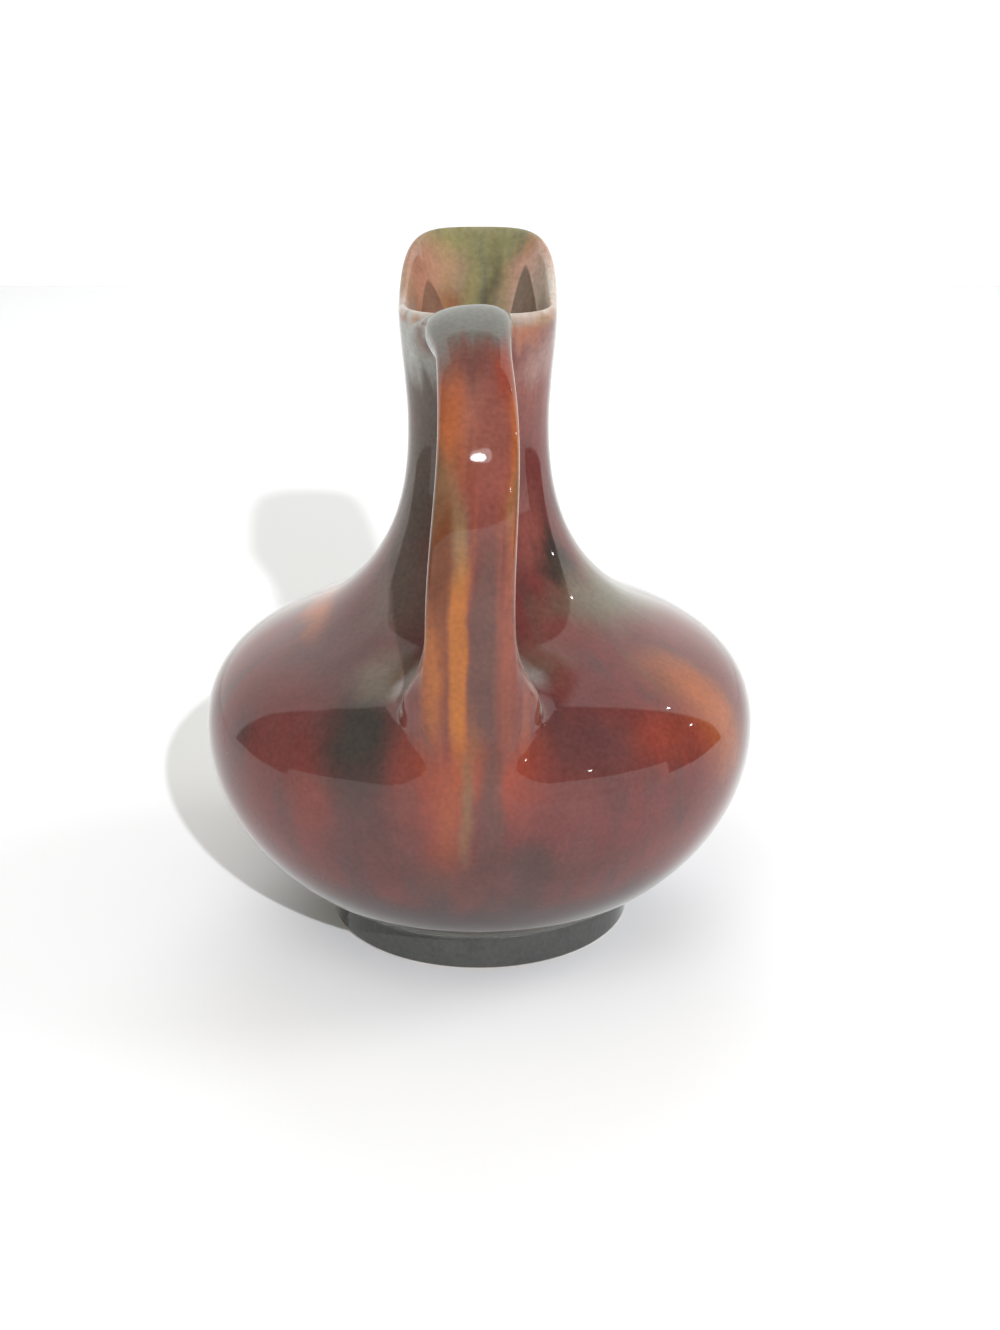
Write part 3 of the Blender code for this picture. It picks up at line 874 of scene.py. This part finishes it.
def run_and_wander(wiring, place):
    """The place as the glaze has carried it: wandering a little and running down in streaks.

    Gives the moved place and the streaks themselves.
    """
    x, y, z = wiring.parts(place)
    from_axis = wiring.vector("LENGTH", wiring.joined(x, y, 0.0))
    x_share = wiring.math("DIVIDE", x, from_axis)
    y_share = wiring.math("DIVIDE", y, from_axis)
    streaks = wiring.noise(wiring.joined(x_share, y_share, wiring.math("MULTIPLY", z, STREAK_SHORTNESS)),
                           STREAK_WAVES)
    wander = wiring.vector("SUBTRACT", wiring.noise(place, WANDER_WAVES, out="Color"), NOISE_MIDDLE)
    wander = wiring.vector("SCALE", wander, WANDER)
    run = wiring.math("MULTIPLY_ADD", streaks, STREAK_RUN, -STREAK_RUN / 2)
    moved = wiring.vector("ADD", wiring.vector("ADD", place, wander), wiring.joined(0.0, 0.0, run))
    return moved, streaks


def speckled(wiring, place, colour):
    """Fine flecks and soft clouding in the glaze."""
    flecks = wiring.noise(place, FLECK_WAVES)
    clouds = wiring.noise(place, CLOUD_WAVES, 3.0)
    clouds = wiring.math("MULTIPLY_ADD", clouds, CLOUDS, DARKEST)
    value = wiring.math("MULTIPLY_ADD", flecks, FLECKS, clouds)
    return wiring.blend(1.0, colour, wiring.joined(value, value, value), "MULTIPLY")


def pot_colours(palette):
    """Node group with the colours of the pot's glaze, outside and inside, by place on the pot."""
    wiring, out = group("pot_colours", {"Outside": "NodeSocketColor", "Inside": "NodeSocketColor"})
    place = wiring.place()
    moved, streaks = run_and_wander(wiring, place)
    height = wiring.parts(place)[2]
    clouds = wiring.noise(place, WIDE_CLOUD_WAVES)
    mixed = wiring.math("ADD", wiring.math("MULTIPLY", streaks, STREAK_SHARE),
                        wiring.math("MULTIPLY", clouds, WIDE_CLOUD_SHARE))
    colour = wiring.blend(wiring.ease(mixed, *OUTSIDE_SPLIT), opaque(palette.plum), opaque(palette.oxblood))
    colour = painted(wiring, moved, colour, POT_PATCHES, palette, OUTER_LINE)
    streaked = wiring.math("MULTIPLY_ADD", streaks, LOW_BROWN_STREAKS, height)
    bottom = wiring.math("MULTIPLY", wiring.ease(streaked, *LOW_BROWN_LEVELS), LOW_BROWN_STRENGTH)
    colour = wiring.blend(bottom, colour, opaque(palette.low_brown))
    colour = wiring.blend(wiring.ease(height, *FOOT_GREY_LEVELS), colour, opaque(palette.foot_grey))
    wiring.put(out.inputs["Outside"], speckled(wiring, place, colour))
    colour = wiring.blend(wiring.ease(mixed, *INSIDE_SPLIT), opaque(palette.olive), opaque(palette.olive_green))
    colour = painted(wiring, moved, colour, MOUTH_PATCHES, palette, OUTER_LINE, LIP_WALL)
    # Painted shadow: dark wedges of shade in the mouth's front corners
    colour = painted_mouth_shadows(wiring, place, colour, palette)
    colour = wiring.blend(wiring.ease(height, *DEEP_LEVELS), colour, opaque(palette.plum))
    wiring.put(out.inputs["Inside"], speckled(wiring, place, colour))


def strap_colours(palette):
    """Node group with the colours of the strap, by how far along and across it a place lies."""
    wiring, out = group("strap_colours", {"Colour": "NodeSocketColor"})
    place = wiring.place()
    along = wiring.attribute("along")
    across = wiring.attribute("across")
    streaks = wiring.noise(wiring.joined(across, wiring.math("MULTIPLY", along, STRAP_STREAK_SHORTNESS), 0.0),
                           STRAP_STREAK_WAVES)
    wander = wiring.math("MULTIPLY_ADD", wiring.noise(place, STRAP_WANDER_WAVES), STRAP_WANDER, -STRAP_WANDER / 2)
    run_back = wiring.math("SUBTRACT", along, STRAP_STREAK_RUN / 2)
    spot = wiring.joined(wiring.math("ADD", across, wander),
                         wiring.math("MULTIPLY_ADD", streaks, STRAP_STREAK_RUN, run_back), 0.0)
    colour = wiring.blend(wiring.ease(streaks, *STRAP_COLOUR_SPLIT), opaque(palette.oxblood),
                          opaque(palette.terracotta_brown))
    for name, *sizes, softness, strength in STRAP_RUNS:
        run, aside, half_length, half_width = (size / MILLIMETRES for size in sizes)
        mask = wiring.patch(spot, (aside, run, 0), (0, 0, 0), (half_width, half_length, 1), softness, strength)
        colour = wiring.blend(mask, colour, opaque(getattr(palette, name)))
    wiring.put(out.inputs["Colour"], speckled(wiring, place, colour))


def glaze_skin():
    """Node group with what both glazed pieces share: how rough and uneven the glaze is, and where it thins."""
    wiring, out = group("glaze_skin", {"Thinness": "NodeSocketFloat", "Bare": "NodeSocketFloat",
                                       "Roughness": "NodeSocketFloat", "Height": "NodeSocketFloat"})
    place = wiring.place()
    broken = wiring.noise(place, BREAK_WAVES, 3.0)
    worn = wiring.math("MULTIPLY", wiring.attribute("thin_glaze"), wiring.ease(broken, *BREAKS))
    at_back = wiring.ease(wiring.parts(place)[1], *BACK_OF_RIM)
    worn = wiring.math("MULTIPLY", worn, wiring.math("MULTIPLY_ADD", at_back, WORN_AT_BACK, WORN))
    wiring.put(out.inputs["Thinness"], worn)
    height = wiring.math("MULTIPLY_ADD", broken, BARE_WANDER, wiring.parts(place)[2])
    bare = wiring.ease(height, *BARE_LEVELS)
    wiring.put(out.inputs["Bare"], bare)
    wiring.put(out.inputs["Roughness"], wiring.math("MULTIPLY_ADD", bare, BARE_ROUGHNESS, GLAZE_ROUGHNESS))
    slow = wiring.noise(place, SLOW_WAVES, 1.0)
    fine = wiring.noise(place, FINE_WAVES, 1.0)
    wiring.put(out.inputs["Height"], wiring.math("MULTIPLY_ADD", fine, FINE_SHARE, slow))


def new_material(name):
    """New material, with the wiring of its nodes and the sockets of its shader."""
    material = bpy.data.materials.new(name)
    material.use_nodes = True
    return material, Wiring(material.node_tree), material.node_tree.nodes["Principled BSDF"].inputs


def glaze(name, palette, on_strap=False):
    """Finished glaze of the pot or of the strap."""
    material, wiring, shader = new_material(name)
    pot = grouped(wiring, "pot_colours")
    skin = grouped(wiring, "glaze_skin")
    if on_strap:
        strap = grouped(wiring, "strap_colours")
        colour = wiring.blend(wiring.attribute("on_strap"), pot["Outside"], strap["Colour"])
    else:
        colour = wiring.blend(wiring.attribute("inside"), pot["Outside"], pot["Inside"])
    colour = wiring.blend(skin["Thinness"], colour, opaque(palette.rim_pale))
    # Painted sheen: the colour pales towards the outline, for the reflection the glaze shows aslant
    grazing = wiring.node("ShaderNodeLayerWeight").outputs["Facing"]
    painted_outline_sheen = wiring.math("MULTIPLY", wiring.ease(grazing, SHEEN_PAINT_FROM, 1.0), SHEEN_PAINT_SHARE)
    colour = wiring.blend(painted_outline_sheen, colour, opaque(palette.painted_outline_sheen))
    colour = wiring.blend(skin["Bare"], colour, opaque(palette.bare_clay))
    wiring.put(shader["Base Color"], colour)
    wiring.put(shader["Roughness"], skin["Roughness"])
    bump = wiring.node("ShaderNodeBump")
    bump.inputs["Strength"].default_value = 1.0
    bump.inputs["Distance"].default_value = RELIEF
    wiring.put(bump.inputs["Height"], skin["Height"])
    wiring.put(shader["Normal"], bump.outputs["Normal"])
    return material


def make_glazes(context):
    """Makes the shared colour groups once."""
    if "pot_colours" not in bpy.data.node_groups:
        pot_colours(context.scene.ewer_glaze)
        strap_colours(context.scene.ewer_glaze)
        glaze_skin()


def length_of(name, description, default):
    """A size that a user may change."""
    return bpy.props.FloatProperty(name=name, description=description, default=default, unit="LENGTH")


def number_of(name, description, default):
    """A plain number that a user may change."""
    return bpy.props.FloatProperty(name=name, description=description, default=default)


def colour_of(name, description, default, **limits):
    """A colour that a user may change."""
    return bpy.props.FloatVectorProperty(name=name, description=description, default=default, subtype="COLOR",
                                         **limits)


class EwerShape(bpy.types.PropertyGroup):
    """Sizes that a user may change."""

    strap_top_width: length_of("Strap width at the top", "Width of the strap where it leaves the rim", 0.0160)
    strap_low_width: length_of("Strap width at the foot", "Width of the strap where it meets the belly", 0.0201)
    strap_thickness: length_of("Strap thickness", "Thickness of the strap", 0.0076)
    strap_squareness: number_of("Strap squareness", "2 gives an oval section, more a squarer one", 3.2)
    crest_lift: length_of("Crest lift", "How much the strap's crest swells over the rim", 0.0012)
    crest_spread_left: length_of(
        "Crest spread, left", "How much wider the strap is to the left at its crest", 0.0022)
    crest_spread_right: length_of(
        "Crest spread, right", "How much wider the strap is to the right at its crest", 0.0008)
    foot_spread: length_of("Foot spread", "How much the strap widens to each side at its foot", 0.0040)
    foot_drape: length_of(
        "Foot drape", "How far the widened foot of the strap lies back against the belly", 0.0034)
    upper_spread_left: length_of(
        "Upper spread, left", "How far the clay spreads to the left under the rim", 0.0145)
    upper_spread_right: length_of(
        "Upper spread, right", "How far the clay spreads to the right under the rim", 0.0100)
    lower_spread: length_of("Lower spread", "How far the clay spreads to each side on the shoulder", 0.0190)


class EwerGlaze(bpy.types.PropertyGroup):
    """Colours of the glaze that a user may change."""

    oxblood: colour_of("Oxblood", "Main red of the belly", (0.135, 0.034, 0.030))
    plum: colour_of("Plum", "Dark plum brown of the belly", (0.090, 0.038, 0.035))
    iron_red: colour_of("Iron red", "Clear red round the root of the strap", (0.250, 0.045, 0.024))
    deep_red: colour_of("Deep red", "Dark red brown on the strap", (0.125, 0.034, 0.010))
    orange: colour_of("Orange", "Orange patches on shoulder and strap", (0.350, 0.098, 0.030))
    amber: colour_of("Amber", "Amber runs down the strap", (0.348, 0.108, 0.018))
    terracotta_brown: colour_of("Terracotta brown", "Red brown of the strap", (0.208, 0.057, 0.034))
    olive_brown: colour_of("Olive brown", "Olive brown streaks on the strap", (0.165, 0.090, 0.045))
    mauve: colour_of("Mauve", "Grey mauve runs", (0.105, 0.044, 0.035))
    mauve_pink: colour_of("Mauve pink", "Pinkish mauve of the neck", (0.215, 0.068, 0.054))
    deep_green: colour_of("Deep green", "Nearly black green pools", (0.038, 0.031, 0.026))
    # grey_green and pale_grey are also laid as painted reflections in the hollows beside the strap's foot
    grey_green: colour_of("Grey green", "Pale grey green on the shoulder", (0.140, 0.118, 0.078))
    grey_brown: colour_of("Grey brown", "Grey brown of the neck", (0.125, 0.096, 0.080))
    pale_grey: colour_of("Pale grey", "Pale grey under the rim", (0.400, 0.405, 0.380))
    veil_grey: colour_of("Veil grey", "Grey of the strap's crest", (0.128, 0.126, 0.110))
    veil_brown: colour_of("Veil brown", "Grey brown under the strap's crest", (0.145, 0.086, 0.067))
    olive: colour_of("Olive", "Yellow olive inside the mouth", (0.235, 0.207, 0.092))
    olive_green: colour_of("Olive green", "Green olive inside the mouth", (0.165, 0.163, 0.092))
    terracotta: colour_of("Terracotta", "Pinkish terracotta inside the mouth", (0.425, 0.205, 0.140))
    low_brown: colour_of("Low brown", "Dark brown above the foot", (0.032, 0.022, 0.019))
    foot_grey: colour_of("Foot grey", "Grey of the foot", (0.066, 0.066, 0.062))
    # Painted shadows: the two dark wedges of shade in the mouth's front corners
    shadow_wedge_brown: colour_of("Wedge brown", "Dark wedge at the left of the mouth", (0.200, 0.105, 0.070))
    shadow_wedge_grey: colour_of("Wedge grey", "Greyer dark wedge at the right of the mouth", (0.150, 0.110, 0.080))
    rim_pale: colour_of("Rim pale", "Thin pale glaze on edges", (0.600, 0.540, 0.470))
    # Painted sheen: pale colour laid on towards the outline for the reflection seen aslant
    painted_outline_sheen: colour_of("Milky", "Milky veil of the glaze seen aslant", (0.500, 0.520, 0.480))
    bare_clay: colour_of("Bare clay", "Bare clay where the foot stands", (0.480, 0.360, 0.260))


class EWER_OT_pot(bpy.types.Operator):
    """Makes the pot as one glazed skin"""

    bl_idname = "ewer.pot"
    bl_label = "Glazed pot"

    def execute(self, context):
        make_glazes(context)
        piece = glazed_pot(glaze("pot_glaze", context.scene.ewer_glaze))
        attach(piece, "root")
        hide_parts("foot_ring", "belly_lower", "belly_upper", "neck", "mouth")
        return {"FINISHED"}


class EWER_OT_handle(bpy.types.Operator):
    """Makes the strap handle and works its ends into the pot"""

    bl_idname = "ewer.handle"
    bl_label = "Strap handle"

    def execute(self, context):
        make_glazes(context)
        strap_glaze = glaze("strap_glaze", context.scene.ewer_glaze, on_strap=True)
        piece = strap_handle(context.scene.ewer_shape, strap_glaze)
        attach(piece, "root")
        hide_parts("handle", "handle_upper_join", "handle_lower_join")
        return {"FINISHED"}


# The camera found for the photograph: its lens in pixels of a picture of that height, the width of its film in
# millimetres, its place and its tilt
LENS_PIXELS = 2008.4
PICTURE_HEIGHT = 1330
FILM = 36
EYE = (0.004929, -0.45, 0.228928)
EYE_TILT = 0.3547915

# Where the gloss shows what in the room, as parts of a direction: the dark overhead by how far it lies aside and
# how far ahead, the bright middle and the bright right end of the backdrop, and the lighter left of the dark room
OVERHEAD_ASIDE = (0.34, 0.28)
OVERHEAD_AHEAD = (0.54, 0.48)
BRIGHT_AHEAD = (0.40, 1.00)
BRIGHT_RIGHT = (0.45, 0.95)
LIGHTER_LEFT = (-0.5, 0.3)

# Lamps: degrees round from the handle (to its right), degrees up, distance, size, power, colour, whether it only
# shows in the gloss or only lights, and whether it lights far and near paper alike
COOL, COOLER, CLEAR, WHITE, WARM = (0.90, 0.92, 1), (0.87, 0.90, 1), (0.95, 0.97, 1), (1, 1, 1), (1, 0.98, 0.94)
LAMPS = {
    "key": (12.6, 30.3, 1.00, 0.022, 7.5, COOL, False, True),
    "back_lamp": (180, 38, 1.20, 0.80, 4.5, COOLER, False, False),
    "front_soft": (-15, 55, 0.90, 0.50, 1.3, CLEAR, False, False),
    "right_fill": (95, 35, 1.20, 0.50, 3.4, CLEAR, False, False),
    "glint": (0, 46.4, 0.294, 0.014, 0.016, WHITE, True, False),
    "glint_halo": (2, 47, 0.30, 0.030, 0.008, WHITE, True, False),
    "far_lamp_1": (47, 22, 1.50, 0.030, 0.12, WARM, True, False),
    "far_lamp_2": (103.5, 20, 1.50, 0.030, 0.12, WARM, True, False),
    "far_lamp_3": (112.6, 37.4, 1.50, 0.030, 0.12, WARM, True, False),
}

FLOOR_HALF_WIDTH = 0.6
FLOOR_STRETCH = 1.5
PAPER = (0.90, 0.90, 0.89)
PAPER_ROUGHNESS = 0.9
PAPER_GLOSS = 0.1


def camera(context):
    """The photograph's own view of the ewer."""
    view = bpy.data.cameras.new("photo_view")
    view.sensor_width = FILM
    view.lens = FILM * LENS_PIXELS / PICTURE_HEIGHT
    eye = bpy.data.objects.new("photo_view", view)
    context.collection.objects.link(eye)
    eye.location = EYE
    eye.rotation_euler = (radians(90) - EYE_TILT, 0, 0)
    context.scene.camera = eye


def room(context, sizes):
    """The room: an even light on everything, and in the gloss a white backdrop in a dark room.

    The gloss shows the backdrop behind the pot, up to a slanted edge and brightest in its middle,
    but not straight overhead, where the room stays dark. The left of the room is a little lighter.
    """
    world = bpy.data.worlds.new("studio_room")
    context.scene.world = world
    world.use_nodes = True
    wiring = Wiring(world.node_tree)
    rays = wiring.node("ShaderNodeLightPath").outputs
    right, ahead, up = wiring.parts(wiring.node("ShaderNodeTexCoord").outputs["Generated"])
    soft = sizes.edge_softness
    slanted = wiring.math("MULTIPLY_ADD", up, sizes.backdrop_slant, ahead)
    behind = wiring.ease(slanted, sizes.backdrop_from - soft, sizes.backdrop_from + soft)
    near_middle = wiring.ease(wiring.math("ABSOLUTE", right), *OVERHEAD_ASIDE)
    overhead = wiring.math("MULTIPLY", near_middle, wiring.ease(ahead, *OVERHEAD_AHEAD))
    white = wiring.math("MULTIPLY", behind, wiring.math("SUBTRACT", 1.0, overhead))
    brighter = wiring.math("MAXIMUM", wiring.ease(ahead, *BRIGHT_AHEAD), wiring.ease(right, *BRIGHT_RIGHT))
    bright = wiring.blend(brighter, opaque(sizes.white_sheet), opaque(sizes.bright_middle))
    dark = wiring.blend(wiring.ease(right, *LIGHTER_LEFT), opaque(sizes.dark_room_left), opaque(sizes.dark_room))
    gloss = wiring.blend(white, dark, bright)
    spread = wiring.blend(rays["Is Diffuse Ray"], opaque(sizes.backdrop), opaque(sizes.even_light))
    background = world.node_tree.nodes["Background"]
    wiring.put(background.inputs["Color"], wiring.blend(rays["Is Glossy Ray"], spread, gloss))


def white_card(sizes):
    """A wide low card in front, under the lens, that only the gloss shows. Its top edge slants."""
    material, _, shader = new_material("white_card")
    shader["Base Color"].default_value = opaque((0.0, 0.0, 0.0))
    shader["Specular IOR Level"].default_value = 0.0
    shader["Emission Color"].default_value = opaque(sizes.white_sheet)
    shader["Emission Strength"].default_value = 1.0
    shape = bmesh.new()
    half = sizes.card_width / 2
    corners = [shape.verts.new((side * half, -sizes.card_distance, -half / 2)) for side in (-1, 1)]
    risen = bmesh.ops.extrude_edge_only(shape, edges=[shape.edges.new(corners)])
    for corner in risen["geom"]:
        if isinstance(corner, bmesh.types.BMVert):
            corner.co.z = sizes.card_height + sizes.card_slant * corner.co.x
    card = add_piece("white_card", shape, material)
    card.visible_camera = False
    card.visible_diffuse = False
    card.visible_shadow = False


def lamp(context, name, azimuth, elevation, distance, size, power, colour, in_gloss, even_reach):
    """A round lamp that faces the pot."""
    light = bpy.data.lights.new(name, "AREA")
    light.shape = "DISK"
    light.size = size
    light.energy = power
    light.color = colour
    if even_reach:
        light.use_nodes = True
        wiring = Wiring(light.node_tree)
        falloff = wiring.node("ShaderNodeLightFalloff")
        falloff.inputs["Strength"].default_value = 1.0
        wiring.put(light.node_tree.nodes["Emission"].inputs["Strength"], falloff.outputs["Constant"])
    lamp_object = bpy.data.objects.new(name, light)
    context.collection.objects.link(lamp_object)
    azimuth, elevation = radians(azimuth), radians(elevation)
    outward = Vector((sin(azimuth) * cos(elevation), -cos(azimuth) * cos(elevation), sin(elevation)))
    lamp_object.location = Vector((0, 0, BELLY_MIDLINE)) + outward * distance
    lamp_object.rotation_euler = outward.to_track_quat("Z", "Y").to_euler()
    lamp_object.visible_glossy = in_gloss
    lamp_object.visible_diffuse = not in_gloss
    lamp_object.visible_camera = False


def paper_floor():
    """Floor of matt white paper."""
    material, _, shader = new_material("white_paper")
    shader["Base Color"].default_value = opaque(PAPER)
    shader["Roughness"].default_value = PAPER_ROUGHNESS
    shader["Specular IOR Level"].default_value = PAPER_GLOSS
    shape = bmesh.new()
    bmesh.ops.create_grid(shape, x_segments=1, y_segments=1, size=FLOOR_HALF_WIDTH)
    for corner in shape.verts:
        corner.co.y *= FLOOR_STRETCH
    floor = add_piece("floor", shape, material)


class EwerStage(bpy.types.PropertyGroup):
    """The light that a user may change."""

    even_light: colour_of("Even light", "Light of the room on the pot and the paper", (0.455, 0.443, 0.390))
    backdrop: colour_of("Backdrop", "What shows beyond the paper", (1.1, 1.1, 1.1), max=2)
    white_sheet: colour_of("White sheet", "The white that shows in the gloss", (1.0, 1.0, 0.98))
    bright_middle: colour_of("Bright middle", "The middle of the backdrop in the gloss", (1.28, 1.28, 1.25), max=4)
    dark_room: colour_of("Dark room", "The dark that shows in the gloss", (0.05, 0.05, 0.05))
    dark_room_left: colour_of("Dark room, left", "The left of the dark room in the gloss", (0.26, 0.26, 0.25))
    card_distance: length_of("Card distance", "How far in front of the pot the white card stands", 0.66)
    card_height: length_of("Card height", "Height of the white card at its middle", 0.243)
    card_width: length_of("Card width", "Width of the white card", 8.0)
    card_slant: number_of("Card slant", "Rise of the card's top edge for each metre to the right", 0.05)
    backdrop_from: number_of("Backdrop from", "How far round the backdrop starts, 0 at the sides", 0.42)
    backdrop_slant: number_of("Backdrop slant", "How much the backdrop leans over the pot", 0.22)
    edge_softness: number_of("Edge softness", "Softness of the backdrop's edges in the gloss", 0.015)


class EWER_OT_stage(bpy.types.Operator):
    """Sets up the floor, the light and the camera"""

    bl_idname = "ewer.stage"
    bl_label = "Stage"

    def execute(self, context):
        paper_floor()
        room(context, context.scene.ewer_stage)
        white_card(context.scene.ewer_stage)
        for name, values in LAMPS.items():
            lamp(context, name, *values)
        context.scene.view_settings.view_transform = "Standard"
        camera(context)
        return {"FINISHED"}


class EWER_PT_panel(bpy.types.Panel):
    """Lists the ewer's sizes and its makers"""

    bl_idname = "EWER_PT_panel"
    bl_label = "Ewer"
    bl_space_type = "VIEW_3D"
    bl_region_type = "UI"
    bl_category = "Ewer"

    def draw(self, context):
        scene = context.scene
        for kind, values in ((EwerShape, scene.ewer_shape), (EwerGlaze, scene.ewer_glaze),
                             (EwerStage, scene.ewer_stage)):
            for name in kind.__annotations__:
                self.layout.prop(values, name)
        for operator in (EWER_OT_pot, EWER_OT_handle, EWER_OT_stage):
            self.layout.operator(operator.bl_idname)


CLASSES = (EwerShape, EwerGlaze, EwerStage, EWER_OT_pot, EWER_OT_handle, EWER_OT_stage, EWER_PT_panel)


def register():
    for made in CLASSES:
        bpy.utils.register_class(made)
    bpy.types.Scene.ewer_shape = bpy.props.PointerProperty(type=EwerShape)
    bpy.types.Scene.ewer_glaze = bpy.props.PointerProperty(type=EwerGlaze)
    bpy.types.Scene.ewer_stage = bpy.props.PointerProperty(type=EwerStage)


def unregister():
    del bpy.types.Scene.ewer_stage
    del bpy.types.Scene.ewer_glaze
    del bpy.types.Scene.ewer_shape
    for made in reversed(CLASSES):
        bpy.utils.unregister_class(made)


def main():
    register()
    bpy.ops.ewer.pot()
    bpy.ops.ewer.handle()
    bpy.ops.ewer.stage()


if __name__ == "__main__":
    main()
